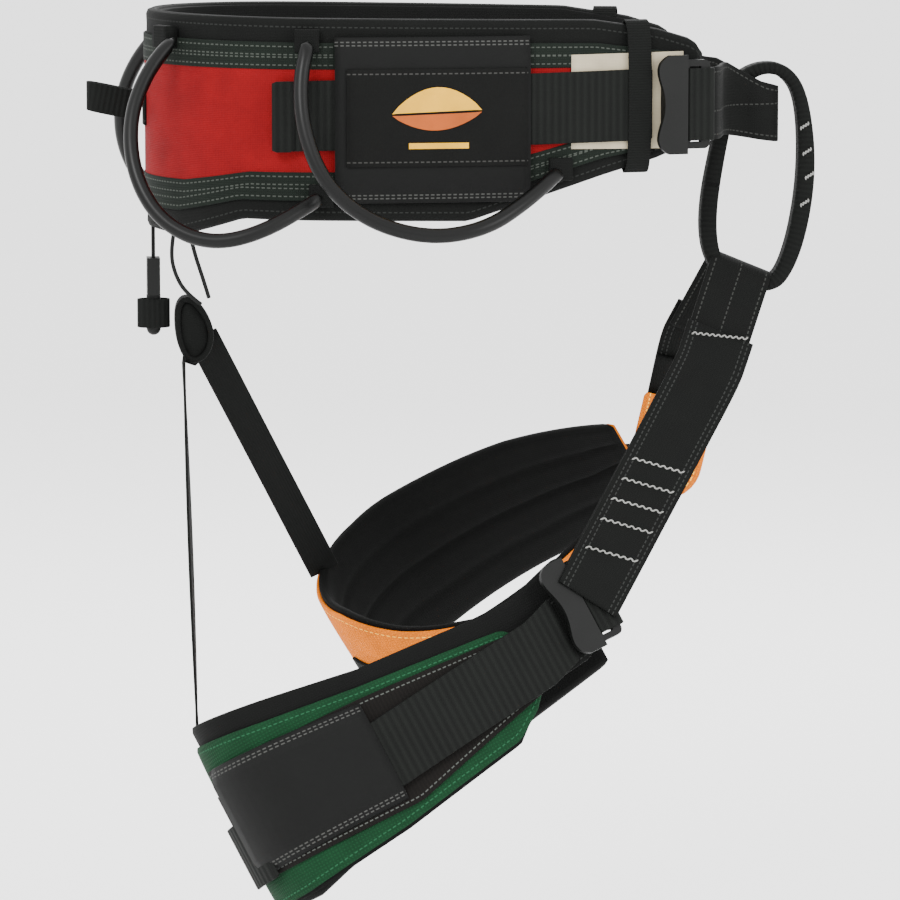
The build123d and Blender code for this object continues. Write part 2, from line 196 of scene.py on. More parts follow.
BLACK = (0.0028, 0.0033, 0.0028)
pad_cloth = cloth("black pad cloth", (0.0030, 0.0035, 0.0030), edge_rows=(5.5,), thread=(0.012, 0.013, 0.012))
mesh_cloth = cloth("black lining", (0.0024, 0.0027, 0.0024), across=1.6, along=1.6)
web_cloth = cloth("black webbing", BLACK, across=1.8, along=1.2, edge_rows=(3.0,),
                  thread=(0.014, 0.015, 0.014))
plain_web = cloth("plain black webbing", BLACK, across=1.8, along=1.2)
ribbed = cloth("ribbed webbing", (0.0045, 0.0052, 0.0045), ribs=4.6, contrast=0.9, depth=0.0005)
ring_web = cloth("ring webbing", BLACK, ribs=3.2, contrast=0.7, depth=0.0004)
red_cloth = cloth("red pack cloth", (0.22, 0.0020, 0.0045), across=1.1, along=1.1, contrast=0.3)
trim_web = cloth("dark green webbing", (0.0062, 0.0100, 0.0070), across=1.6, along=1.2, edge_rows=(2.6, 7.4),
                 thread=(0.035, 0.040, 0.034))
satin = cloth("black satin", (0.0020, 0.0023, 0.0020), across=0.5, along=0.5, rough=0.6, edge_rows=(3.0, 5.0),
              thread=(0.040, 0.041, 0.038))
label_cloth = cloth("label cloth", (0.0036, 0.0038, 0.0034), across=0.8, along=0.8, edge_rows=(3.0,),
                    thread=(0.030, 0.030, 0.028))
cream = cloth("cream tag", (0.55, 0.48, 0.34), contrast=0.15, depth=0.00003)
elastic = cloth("black elastic", BLACK, ribs=1.6, contrast=0.6, depth=0.0003)
green = cloth("green pack cloth", (0.0032, 0.036, 0.012), across=2.1, along=2.1, contrast=0.5, edge_rows=(4.0,),
              thread=(0.010, 0.060, 0.026), depth=0.0003)
orange = cloth("orange pack cloth", (0.88, 0.21, 0.0004), across=2.1, along=2.1, contrast=0.3,
               edge_rows=(4.0,), thread=(0.95, 0.45, 0.05), depth=0.0003)
backing_cloth = cloth("dark backing", (0.0042, 0.0034, 0.0028), ribs=2.4, contrast=0.5, edge_rows=(3.0,))
bridge_web = cloth("bridge webbing", BLACK, across=1.8, along=1.2, edge_rows=(3.2,), middle_rows=(0.0,),
                   thread=(0.022, 0.023, 0.021))
strap_web = cloth("strap webbing", BLACK, across=1.8, along=1.2, edge_rows=(3.2, 6.2),
                  thread=(0.016, 0.017, 0.016))
thread_pale = cloth("pale thread", (0.30, 0.30, 0.285), across=0.6, along=0.6, depth=0.00005)
thread_gold = cloth("gold thread", (0.85, 0.45, 0.03), across=0.6, along=0.6, depth=0.00005)
thread_rust = cloth("rust thread", (0.45, 0.10, 0.02), across=0.6, along=0.6, depth=0.00005)
tube_plastic = plastic("tube plastic", (0.0010, 0.0011, 0.0010), 0.30)
buckle_plastic = plastic("buckle plastic", (0.0014, 0.0016, 0.0014), 0.45, 0.00005)


# ---- mesh helpers ----
def section(low, high, inner, outer, radius, faces):
    """Closed rounded section: across positions, offsets and distance from the hem, in millimetres."""
    radius = min(radius, (outer - inner) * 0.5, (high - low) * 0.25)
    middle, half = (inner + outer) / 2, (outer - inner) / 2
    across, offset = [], []
    for sign in (1, -1):
        start, end = (low + radius, high - radius) if sign > 0 else (high - radius, low + radius)
        level = outer if sign > 0 else inner
        for k in range(faces + 1):
            across.append(start + (end - start) * k / faces)
            offset.append(level)
        for k in range(1, 4):
            turn = math.pi / 2 - math.pi / 4 * k
            across.append(end + sign * radius * math.cos(turn))
            offset.append(middle + sign * (radius * math.sin(turn) + (half - radius) * (2 - k)))
    return np.array(across), np.array(offset)


def loft(name, points, normals, sides, low, high, inner, outer, radius=0.6, faces=10, closed=False,
         lift=None, ends=0.0, material=None, slot=None):
    """Strip swept through stations: normals give its thickness direction and sides its width."""
    count = len(points)
    low, high, inner, outer = (np.broadcast_to(np.asarray(each, float), (count,))
                               for each in (low, high, inner, outer))
    steps = np.linalg.norm(np.diff(points, axis=0), axis=1)
    run = np.concatenate([[0], np.cumsum(steps)])
    rows, uvs, hems = [], [], []
    for i in range(count):
        across, offset = section(low[i], high[i], inner[i], outer[i], radius, faces)
        share = (across - low[i]) / max(high[i] - low[i], 1e-6)
        if lift is not None:
            offset = offset + lift(share, run[i], offset > (inner[i] + outer[i]) / 2)
        if ends and not closed:
            gap = min(run[i], run[-1] - run[i], ends) / ends
            squeeze = max(0.06, math.sqrt(max(0.0, 1 - (1 - gap) ** 2)))
            middle = (inner[i] + outer[i]) / 2
            offset = middle + (offset - middle) * squeeze
            centre = (low[i] + high[i]) / 2
            across = centre + (across - centre) * (0.94 + 0.06 * squeeze)
        rows.append(points[i] + np.outer(offset, normals[i]) + np.outer(across, sides[i]))
        uvs.append(np.c_[np.full(len(across), run[i]), across] * 0.001)
        from_hem = np.minimum(across - low[i], high[i] - across)
        hems.append(np.c_[np.full(len(across), run[i]), from_hem] * 0.001)
    ring = len(rows[0])
    verts = np.vstack(rows) * 0.001
    faces_list = []
    for i in range(count if closed else count - 1):
        a, b = i * ring, ((i + 1) % count) * ring
        for j in range(ring):
            k = (j + 1) % ring
            faces_list.append((a + j, b + j, b + k, a + k))
    if not closed:
        faces_list.append(tuple(range(ring)))
        faces_list.append(tuple(reversed(range((count - 1) * ring, count * ring))))
    return make(name, verts, faces_list, np.vstack(uvs), np.vstack(hems), material)


def make(name, verts, faces_list, uvs=None, hems=None, material=None):
    mesh = bpy.data.meshes.new(name)
    mesh.from_pydata([tuple(v) for v in verts], [], faces_list)
    for layer, values in (("run", uvs), ("hem", hems)):
        if values is not None:
            target = mesh.uv_layers.new(name=layer)
            corner = np.zeros(len(mesh.loops), int)
            mesh.loops.foreach_get("vertex_index", corner)
            target.data.foreach_set("uv", values[corner].astype(np.float32).ravel())
    mesh.update()
    mesh.shade_smooth()
    made = bpy.data.objects.new(name, mesh)
    bpy.context.scene.collection.objects.link(made)
    recalc(made)
    if material is not None:
        mesh.materials.append(material)
    return made


def recalc(made):
    """Face normals turned outward."""
    work = bmesh.new()
    work.from_mesh(made.data)
    bmesh.ops.recalc_face_normals(work, faces=work.faces)
    work.to_mesh(made.data)
    work.free()


def rounded(points, cuts=3, closed=False):
    """Corners cut to a smooth line."""
    line = np.array(points, float)
    for _ in range(cuts):
        nxt = np.roll(line, -1, 0) if closed else line[1:]
        cur = line if closed else line[:-1]
        both = np.stack([cur * 0.75 + nxt * 0.25, cur * 0.25 + nxt * 0.75], 1).reshape(-1, line.shape[1])
        line = both if closed else np.vstack([line[:1], both, line[-1:]])
    return line


def resample(points, step, closed=False):
    line = np.array(points, float)
    if closed:
        line = np.vstack([line, line[:1]])
    run = np.concatenate([[0], np.cumsum(np.linalg.norm(np.diff(line, axis=0), axis=1))])
    count = max(4, int(run[-1] / step) + 1)
    at = np.linspace(0, run[-1], count + (1 if closed else 0))
    if closed:
        at = at[:-1]
    return np.stack([np.interp(at, run, line[:, k]) for k in range(line.shape[1])], 1)


def tangents(line, closed=False):
    if closed:
        t = np.roll(line, -1, 0) - np.roll(line, 1, 0)
    else:
        t = np.gradient(line, axis=0)
    return t / np.linalg.norm(t, axis=1)[:, None]


def tube(name, points, diameter, material, flat=0.0, cuts=3, step=3.0):
    """Round tube along a smoothed line; flat pinches its ends over that length."""
    line = resample(rounded(points, cuts), step)
    along = tangents(line)
    side = np.cross(along[0], (0.3, 0.2, 1.0))
    run = np.concatenate([[0], np.cumsum(np.linalg.norm(np.diff(line, axis=0), axis=1))])
    rows, uvs = [], []
    for i, (point, t) in enumerate(zip(line, along)):
        side = side - t * side.dot(t)
        side /= np.linalg.norm(side)
        other = np.cross(t, side)
        gap = min(run[i], run[-1] - run[i])
        pinch = 1.0 if not flat or gap > flat else 0.45 + 0.55 * math.sin(gap / flat * math.pi / 2)
        cap = math.sqrt(max(0.02, 1 - max(0.0, 1 - gap / (diameter * 0.5)) ** 2))
        angle = np.linspace(0, 2 * math.pi, 21)[:-1]
        circle = np.outer(np.cos(angle), side) + pinch * np.outer(np.sin(angle), other)
        rows.append(point + cap * diameter / 2 * circle)
        uvs.append(np.c_[np.full(20, run[i]), angle * diameter / 2] * 0.001)
    count = len(rows)
    quads = [(i * 20 + j, (i + 1) * 20 + j, (i + 1) * 20 + (j + 1) % 20, i * 20 + (j + 1) % 20)
             for i in range(count - 1) for j in range(20)]
    quads += [tuple(range(20)), tuple(reversed(range((count - 1) * 20, count * 20)))]
    return make(name, np.vstack(rows) * 0.001, quads, np.vstack(uvs), np.vstack(uvs), material)


class Hoop:
    """Closed band outline: a rear arc and two side arcs, in its own plane. Run 0 is the rearmost point."""

    def __init__(self, middle, rear, side, origin=(0, 0, 0), forward=(1, 0, 0), up=(0, 0, 1), side_only=False):
        self.middle, self.rear, self.side, self.side_only = middle, rear, side, side_only
        self.up = np.array(up, float) / np.linalg.norm(up)
        forward = np.array(forward, float)
        forward = forward - self.up * forward.dot(self.up)
        self.forward = forward / np.linalg.norm(forward)
        self.left = np.cross(self.up, self.forward)
        self.origin = np.array(origin, float)

    def run_at(self, x, sign=1):
        if x < self.middle and not self.side_only:
            return sign * self.rear * math.acos(max(-1.0, min(1.0, (self.middle - x) / self.rear)))
        return sign * (self.rear * math.pi / 2 + self.side * math.asin((x - self.middle) / self.side))

    def local(self, run):
        sign = 1.0 if run >= 0 else -1.0
        run = abs(run)
        quarter = self.rear * math.pi / 2
        if run < quarter and not self.side_only:
            turn = run / self.rear
            return (self.middle - self.rear * math.cos(turn), sign * self.rear * math.sin(turn),
                    -math.cos(turn), sign * math.sin(turn))
        turn = (run - quarter) / self.side
        half_width = self.side * math.cos(turn) - self.side + self.rear
        return (self.middle + self.side * math.sin(turn), sign * half_width,
                math.sin(turn), sign * math.cos(turn))

    def world(self, x, y, z=0.0):
        return self.origin + self.forward * x + self.left * y + self.up * z

    def turn_vector(self, x, y, z=0.0):
        return self.forward * x + self.left * y + self.up * z

    def strip(self, name, start, end, top, base, inner, outer, step=5.0, **options):
        """Piece on the hoop between two runs; top and base give its edges from x and run."""
        runs = np.linspace(start, end, max(6, int(abs(end - start) / step)))
        points, normals, xs = [], [], []
        for run in runs:
            x, y, nx, ny = self.local(run)
            points.append(self.world(x, y))
            normals.append(self.turn_vector(nx, ny))
            xs.append(x)
        high = np.array([top(x, r) for x, r in zip(xs, runs)])
        low = np.array([base(x, r) for x, r in zip(xs, runs)])
        sides = np.tile(self.up, (len(runs), 1))
        return loft(name, np.array(points), np.array(normals), sides, low, high, inner, outer, **options)


def edge(points):
    """Edge height from x, through given (x, z) points."""
    xs, zs = zip(*points)
    return lambda x, run: float(np.interp(x, xs, zs))


def two_edges(negative, positive, blend_over=60.0):
    """One edge for each side of a hoop, blended round its rear."""
    first, second = edge(negative), edge(positive)

    def height(x, run):
        share = min(1.0, max(0.0, run / blend_over + 0.5))
        share = share * share * (3 - 2 * share)
        return first(x, run) * (1 - share) + second(x, run) * share
    return height


# ---- waist belt ----
BELT = Hoop(-67, 106, 800)
BELT_RUN = Hoop(-67, 106, 800, side_only=True)
PAD_TOP = [(-190, 61), (95, 57), (135, 51), (158, 44), (165, 36)]
PAD_BASE = [(-190, -74), (-155, -74), (-120, -62), (18, -64), (100, -38), (135, -28), (158, -19), (165, -11)]
front = BELT.run_at(164.5)
pad = BELT.strip("waist_pad", -front, front, edge(PAD_TOP), edge(PAD_BASE), -8.0, 0.0, radius=3.6,
                 faces=22, ends=8,
                 lift=lambda share, run, out: -0.36 * np.sin(np.clip(share, 0, 1) * math.pi * 6) ** 2 * out,
                 material=pad_cloth, slot="black_binding")
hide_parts("waist_pad", "waist_web")
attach(pad, "waist_belt")
lining = BELT.strip("waist_liner", -front, front, edge([(x, z - 2) for x, z in PAD_TOP]),
                    edge([(x, z + 2) for x, z in PAD_BASE]), -10.0, -7.6, radius=1.1, faces=60, ends=8,
                    lift=lambda share, run, out: 1.1 * (1 - np.abs(np.sin(share * math.pi * 5))) * ~out,
                    material=mesh_cloth, slot="black_mesh")
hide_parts("waist_liner")
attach(lining, "waist_belt")


def belt_piece(name, x_from, x_to, top, base, inner, outer, material, slot, node=None, hoop=BELT,
               body="waist_belt", sides=("right", "left"), **options):
    """Same piece on each side of the belt."""
    made = []
    for side in sides:
        sign = -1 if side == "right" else 1
        piece = hoop.strip(f"{name}_{side}", hoop.run_at(x_from, sign), hoop.run_at(x_to, sign), edge(top),
                           edge(base), inner, outer, material=material, slot=slot, **options)
        if node:
            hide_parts(f"{node}_{side}")
        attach(piece, body.replace("SIDE", side))
        made.append(piece)
    return made


def belt_round(name, x_end, top, base, inner, outer, material, slot, **options):
    """Piece that runs right round the belt's rear."""
    end = BELT.run_at(x_end)
    piece = BELT.strip(name, -end, end, edge(top), edge(base), inner, outer, material=material, slot=slot,
                       **options)
    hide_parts(name)
    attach(piece, "waist_belt")
    return piece


belt_round("red_panel", 83, [(-190, 30), (83, 29)],
           [(-190, -41), (-152, -41), (-115, -34), (20, -34), (83, -17)],
           0.1, 1.1, red_cloth, "red_fabric", radius=0.4)
belt_round("trim_upper", 150, [(-190, 46), (95, 43), (150, 36)], [(-190, 29), (95, 28), (150, 26)], 0.1, 1.7,
           trim_web, "green_black_webbing")
belt_round("trim_lower", 140, [(-190, -40), (-152, -40), (-115, -33), (20, -33), (95, -13), (140, -11)],
           [(-190, -59), (-155, -59), (-120, -50), (18, -51), (100, -27), (140, -20)], 0.1, 1.7,
           trim_web, "green_black_webbing")


def bowed(share, run, out):
    return 3.2 * np.clip(np.minimum(share, 1 - share) / 0.16, 0, 1) ** 0.7


belt_piece("sleeve", -64, 54, [(-64, 48), (54, 48)], [(-64, -52), (54, -52)], 1.8, 3.0, satin, "black_satin",
           "sleeve", faces=40, radius=0.5, lift=bowed)
belt_piece("label", -57, 52, [(-57, 29), (52, 29)], [(-57, -30), (52, -30)], 6.3, 7.4, label_cloth,
           "label_cloth", "label", radius=0.5)
tag = belt_piece("info_tag", 80, 150, [(80, 36), (150, 37)], [(80, -21), (150, -22)], 1.8, 2.1, cream,
                 "cream_tag", sides=("right",), radius=0.15)[0]
tag.name = "info_tag"
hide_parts("info_tag")
belt_piece("waist_tail", -101, 130, [(-101, 21.5), (130, 27)], [(-101, -20.5), (130, -16.5)], 2.3, 4.5, ribbed,
           "black_webbing", "waist_tail", hoop=BELT_RUN, body="waist_tail_SIDE", faces=14, ends=2, step=2)
belt_piece("tail_fold", -101.5, -88, [(-102, 21.8), (-88, 22)], [(-102, -20.8), (-88, -20.5)], 4.4, 6.2, ribbed,
           "black_webbing", hoop=BELT_RUN, body="waist_tail_SIDE", ends=2, step=2)


def on_belt(x, z, offset, sign):
    bx, by, nx, ny = BELT.local(BELT.run_at(x, sign))
    return np.array([bx + nx * offset, by + ny * offset, z])


# Label's motif: a plain leaf over a bar.
def motif(name, outline, material, sign, depth=7.9):
    outer = np.array([on_belt(x, z, depth, sign) for x, z in outline])
    inner = np.array([on_belt(x, z, 7.2, sign) for x, z in outline])
    count = len(outline)
    quads = [tuple(range(count)), tuple(reversed(range(count, 2 * count)))]
    quads += [(i, (i + 1) % count, count + (i + 1) % count, count + i) for i in range(count)]
    uvs = np.array([[x, z] for x, z in outline] * 2) * 0.001
    piece = make(name, np.vstack([outer, inner]) * 0.001, quads, uvs, uvs, material)
    piece.data.shade_flat()
    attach(piece, "waist_belt")


for side, sign in (("right", -1), ("left", 1)):
    leaf_top = [(-30 + 54 * t, 2 + 15 * math.sin(math.pi * t) ** 0.8 + 2 * t) for t in np.linspace(0, 1, 15)]
    leaf_low = [(-30 + 54 * t, 1 - 10 * math.sin(math.pi * t) ** 0.8 + 2 * t) for t in np.linspace(0, 1, 15)]
    vein_top = [(-30 + 54 * t, 2.2 + 2 * t) for t in np.linspace(1, 0, 15)]
    vein_low = [(-30 + 54 * t, 0.8 + 2 * t) for t in np.linspace(1, 0, 15)]
    motif(f"leaf_upper_{side}", leaf_top + vein_top[1:-1], thread_gold, sign)
    motif(f"leaf_lower_{side}", leaf_low + vein_low[1:-1], thread_rust, sign)
    motif(f"leaf_bar_{side}", [(-20, -19), (16, -19), (16, -15.5), (-20, -15.5)], thread_gold, sign)

for side, sign in (("right", -1), ("left", 1)):
    band = rounded([(-11, -36), (6, -36), (6, 56), (-11, 56)], 3, closed=True)
    band = resample(band, 3.0, closed=True)
    x, y, nx, ny = BELT.local(BELT.run_at(121.5, sign))
    out, fore = np.array([nx, ny, 0]), np.array([abs(ny), -nx * sign, 0])
    points = np.array([np.array([x, y, 0]) + out * b[0] + np.array([0, 0, b[1]]) for b in band])
    t = tangents(band, True)
    normals = np.array([out * k[1] - np.array([0, 0, k[0]]) for k in t])
    piece = loft(f"elastic_keeper_{side}", points, normals, np.tile(fore, (len(points), 1)), -7.5, 7.5,
                 -0.6, 0.6, closed=True, radius=0.5, material=elastic, slot="black_elastic")
    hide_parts(f"elastic_keeper_{side}")
    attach(piece, "waist_belt")

# gear loops, their tabs, the cords under the pad
REAR_GEAR = [(-158.5, -68.5, 46), (-177, -82, 24), (-187, -97, -4), (-184, -112, -36), (-168, -123, -62),
             (-140, -130, -74), (-108, -130, -67), (-72, -117, -47)]
FRONT_GEAR = [(-80, -116, 46), (-86, -125, 22), (-84, -134, -8), (-72, -141, -38), (-46, -145, -60),
              (-10, -146, -70), (24, -142, -65), (50, -127, -50), (73, -104, -33)]
for where, route in (("rear", REAR_GEAR), ("front", FRONT_GEAR)):
    for side, sign in (("right", 1), ("left", -1)):
        line = [(x, y * sign, z) for x, y, z in route]
        loop = tube(f"gear_loop_{where}_{side}", line, 9.0, tube_plastic, flat=14)
        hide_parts(f"gear_loop_{where}_{side}")
        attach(loop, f"gear_loop_{where}_{side}")
        for end, (x, y, z) in (("top", route[0]), ("base", route[-1])):
            run = BELT.run_at(x, -sign)
            bx, by = BELT.local(run)[:2]
            away = math.hypot(x - bx, y * sign - by)
            tab = BELT.strip(f"gear_tab_{where}_{end}_{side}", run - 7, run + 7,
                             edge([(-200, z + 7), (200, z + 7)]), edge([(-200, z - 7), (200, z - 7)]),
                             1.5, max(3.2, away - 4.8), radius=1.2, step=2,
                             material=plain_web, slot="black_webbing")
            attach(tab, "waist_belt")
            if (where, end, side) == ("rear", "top", "right"):
                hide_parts("gear_loop_anchors")

CORDS = {
    "keeper_cord_slack": [(-158, -33, -76), (-160, -31, -88), (-157, -28, -102), (-150, -23, -114),
                          (-141, -19, -121)],
    "keeper_cord_taut": [(-150, -40, -68), (-146, -32, -86), (-140, -24, -104), (-136, -18.5, -117)],
}
for name, route in CORDS.items():
    data = bpy.data.curves.new(name, "CURVE")
    data.dimensions = "3D"
    line = data.splines.new("NURBS")
    line.points.add(len(route) - 1)
    for point, place in zip(line.points, route):
        point.co = (*(c * 0.001 for c in place), 1.0)
    line.order_u = 3
    line.use_endpoint_u = True
    data.bevel_depth = 0.00125
    data.bevel_resolution = 4
    data.use_fill_caps = True
    data.materials.append(plastic("cord braid " + name[-5:], (0.0035, 0.0038, 0.0035), 0.7, 0.0001))
    made = bpy.data.objects.new(name, data)
    bpy.context.scene.collection.objects.link(made)
    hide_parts(name)
    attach(made, "waist_belt")


def ribbon(name, line, normal_of, width, thick, material, slot, body, node=None, closed=False, twist=None,
           shift=0.0, **options):
    """Webbing along a line; normal_of gives its face direction from a station's tangent and share."""
    line = np.array(line, float)
    along = tangents(line, closed)
    normals, sides = [], []
    for i, t in enumerate(along):
        share = i / max(1, len(line) - 1)
        n = np.array(normal_of(t, share), float)
        n = n - t * n.dot(t)
        n /= np.linalg.norm(n)
        if twist:
            angle = math.radians(twist(share))
            n = n * math.cos(angle) + np.cross(t, n) * math.sin(angle)
        normals.append(n)
        sides.append(np.cross(t, n))
    half = np.asarray(width, float) / 2
    piece = loft(name, line, np.array(normals), np.array(sides), -half, half, shift - np.asarray(thick) / 2,
                 shift + np.asarray(thick) / 2, closed=closed, material=material, slot=slot, **options)
    if node:
        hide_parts(node)
    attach(piece, body)
    return piece


haul = rounded([(-177.8, -1.6, 1), (-185, -6.5, 2), (-209, -6.5, 7), (-209, 6.5, 7), (-185, 6.5, 2),
                (-177.8, 1.6, 1)], 3)
ribbon("haul_loop", resample(haul, 1.5), lambda t, s: np.cross(t, (0.0, 0, 1)), 18, 2.0, ring_web,
       "black_webbing", "haul_loop", "haul_loop")
patch = BELT.strip("haul_anchor", -12, 12, edge([(-200, 13), (0, 13)]), edge([(-200, -11), (0, -11)]), 1.1,
                   2.6, radius=0.7, step=2, material=web_cloth, slot="black_webbing")
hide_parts("haul_anchor")
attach(patch, "waist_belt")

# ---- buckles ----
for node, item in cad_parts.items():
    if "buckle_frame" in node or "buckle_plate" in node or node == "drop_hook":
        item.data.materials.clear()
        item.data.materials.append(buckle_plastic)
        soften = item.modifiers.new("edges", "BEVEL")
        soften.width = 0.0009
        soften.segments = 3
        soften.limit_method = "ANGLE"
        soften.angle_limit = math.radians(40)


def buckle_axes(hoop, x, z, sign, lift):
    """Middle of a buckle, its forward direction, its outward normal and up."""
    bx, by, nx, ny = hoop.local(hoop.run_at(x, sign))
    out = hoop.turn_vector(nx, ny)
    return hoop.world(bx, by, z) + out * lift, hoop.turn_vector(abs(ny), -nx * sign), out, hoop.up


def strap_wrap(name, axes, body, node, width=44.0):
    origin, fore, out, up = axes
    path = [(2, 10.4), (17.5, 10.4), (19, 9), (19, 5), (17.5, 3.6), (11, 3.6)]
    line = resample(rounded([origin + fore * a + out * b for a, b in path], 2), 1.2)
    ribbon(name, line, lambda t, s: np.cross(up, t) * -1, width, 2.0, ribbed, "black_webbing", body, node)


for side, sign in (("right", -1), ("left", 1)):
    strap_wrap(f"waist_strap_wrap_{side}", buckle_axes(BELT, 148, 5, sign, 0), "waist_belt",
               f"waist_strap_wrap_{side}")

# ---- front strap ----
FRONT_TOP = [(160, 27), (184, 27), (210, 13), (226, 9)]
FRONT_BASE = [(160, -17), (184, -18), (206, -22), (226, -25)]
plan = resample(rounded([(166.5, -74, 0), (174, -68, 0), (183.5, -13.5, 0), (219, -11.8, 0),
                         (219, 11.8, 0), (183.5, 13.5, 0), (174, 68, 0), (166.5, 74, 0)], 3), 2.0)
t = tangents(plan)
normals = np.cross(t, (0, 0, 1.0))
top = np.interp(plan[:, 0], *zip(*FRONT_TOP))
base = np.interp(plan[:, 0], *zip(*FRONT_BASE))
strap = loft("front_strap", plan, normals, np.tile((0, 0, 1.0), (len(plan), 1)), base, top, -1.2, 1.2,
             faces=16, material=bridge_web, slot="black_webbing")
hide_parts("front_strap")
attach(strap, "front_strap")

# ---- belay loop ----
RING_OUTER = [(163.5, -101.6), (185, 12), (203.5, 26), (225, 25.5),
              (239, 6), (244.5, -45), (234.5, -98), (216, -123.1)]
RING_INNER = [(175.6, -99), (192, 4), (206, 18.6), (221.5, 18.4),
              (231.5, 2), (233, -45), (225.5, -90), (213.5, -114.5)]
outer = resample(rounded(RING_OUTER, 4, closed=True), 2.5, closed=True)
inside = rounded(RING_INNER, 5, closed=True)
near = np.array([inside[np.argmin(np.linalg.norm(inside - place, axis=1))] for place in outer])
for _ in range(6):
    near = (np.roll(near, 1, 0) + near * 2 + np.roll(near, -1, 0)) / 4
centre = (outer + near) / 2
thick = np.linalg.norm(outer - near, axis=1)
ring_middle = np.c_[centre[:, 0], np.zeros(len(centre)), centre[:, 1]]
ring_out = np.c_[(outer - near)[:, 0], np.zeros(len(centre)), (outer - near)[:, 1]] / thick[:, None]
ring = loft("belay_loop", ring_middle, ring_out, np.tile((0, 1.0, 0), (len(ring_middle), 1)), -8.5, 8.5,
            -thick / 2, thick / 2, radius=2.6, faces=8, closed=True, material=ring_web, slot="black_webbing")
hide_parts("belay_loop")
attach(ring, "belay_loop")


def bar_tack(name, middle, along, across, normal, length, width, body, strokes=9, material=None):
    """Zigzag of pale thread; its long side runs along."""
    middle, along, across, normal = (np.array(v, float) for v in (middle, along, across, normal))
    line = []
    for k in range(strokes + 1):
        side = width / 2 if k % 2 else -width / 2
        line.append(middle + along * (k / strokes - 0.5) * length + across * side + normal * 0.3)
    piece = tube(name, line, 1.0, material or thread_pale, cuts=1, step=0.8)
    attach(piece, body)


for k, height in enumerate((-14, -30, -45, -62)):
    x = float(np.interp(height, (-98, -45, 6), (236, 245, 239.6)))
    for sign in (-1, 1):
        face = "near" if sign < 0 else "far"
        bar_tack(f"ring_tack_{k}_{face}", (x - 6.0, sign * 8.5, height), (0.85, 0, 0.53), (-0.5, 0, 0.85),
                 (0, sign, 0), 6.5, 2.6, "belay_loop", 7)

# ---- leg bridge and straps ----
NOSE_R = 9.7               # inside radius of the bridge's fold
BRIDGE_T = 2.8
STRAP_MIDDLE = NOSE_R + BRIDGE_T + 0.3 + 1.2    # strap's middle ply line, out from the fold's centre
BRIDGE_MIDDLE = np.array((193.2, 0, -110.0))
BRIDGE_ALONG = np.array((0.926, 0, -0.379)) / math.hypot(0.926, 0.379)
BRIDGE_UP = np.cross(BRIDGE_ALONG, (0, 1.0, 0))
LATERAL = np.array((0, 1.0, 0))
LEAN = {"right": (-1, math.radians(25)), "left": (1, math.radians(35))}


def lean_axes(side):
    sign, angle = LEAN[side]
    down = LATERAL * sign * math.sin(angle) - BRIDGE_UP * math.cos(angle)
    out = LATERAL * sign * math.cos(angle) + BRIDGE_UP * math.sin(angle)
    return down, out


right_down = lean_axes("right")[0]
left_down = lean_axes("left")[0]
fold_r = NOSE_R + BRIDGE_T / 2
turns = np.linspace(math.pi - LEAN["right"][1], LEAN["left"][1], 16)
fold = [BRIDGE_MIDDLE + fold_r * (LATERAL * math.cos(turn) + BRIDGE_UP * math.sin(turn)) for turn in turns]
DROPS = (5, 15, 30, 45, 60)
line = [fold[0] + right_down * drop for drop in reversed(DROPS)] + fold
line = resample(line + [fold[-1] + left_down * drop for drop in DROPS], 2.5)
ribbon("leg_bridge", line, lambda t, s: np.cross(BRIDGE_ALONG, t) * -1, 40, BRIDGE_T, bridge_web,
       "black_webbing", "leg_bridge", "leg_bridge", faces=14)

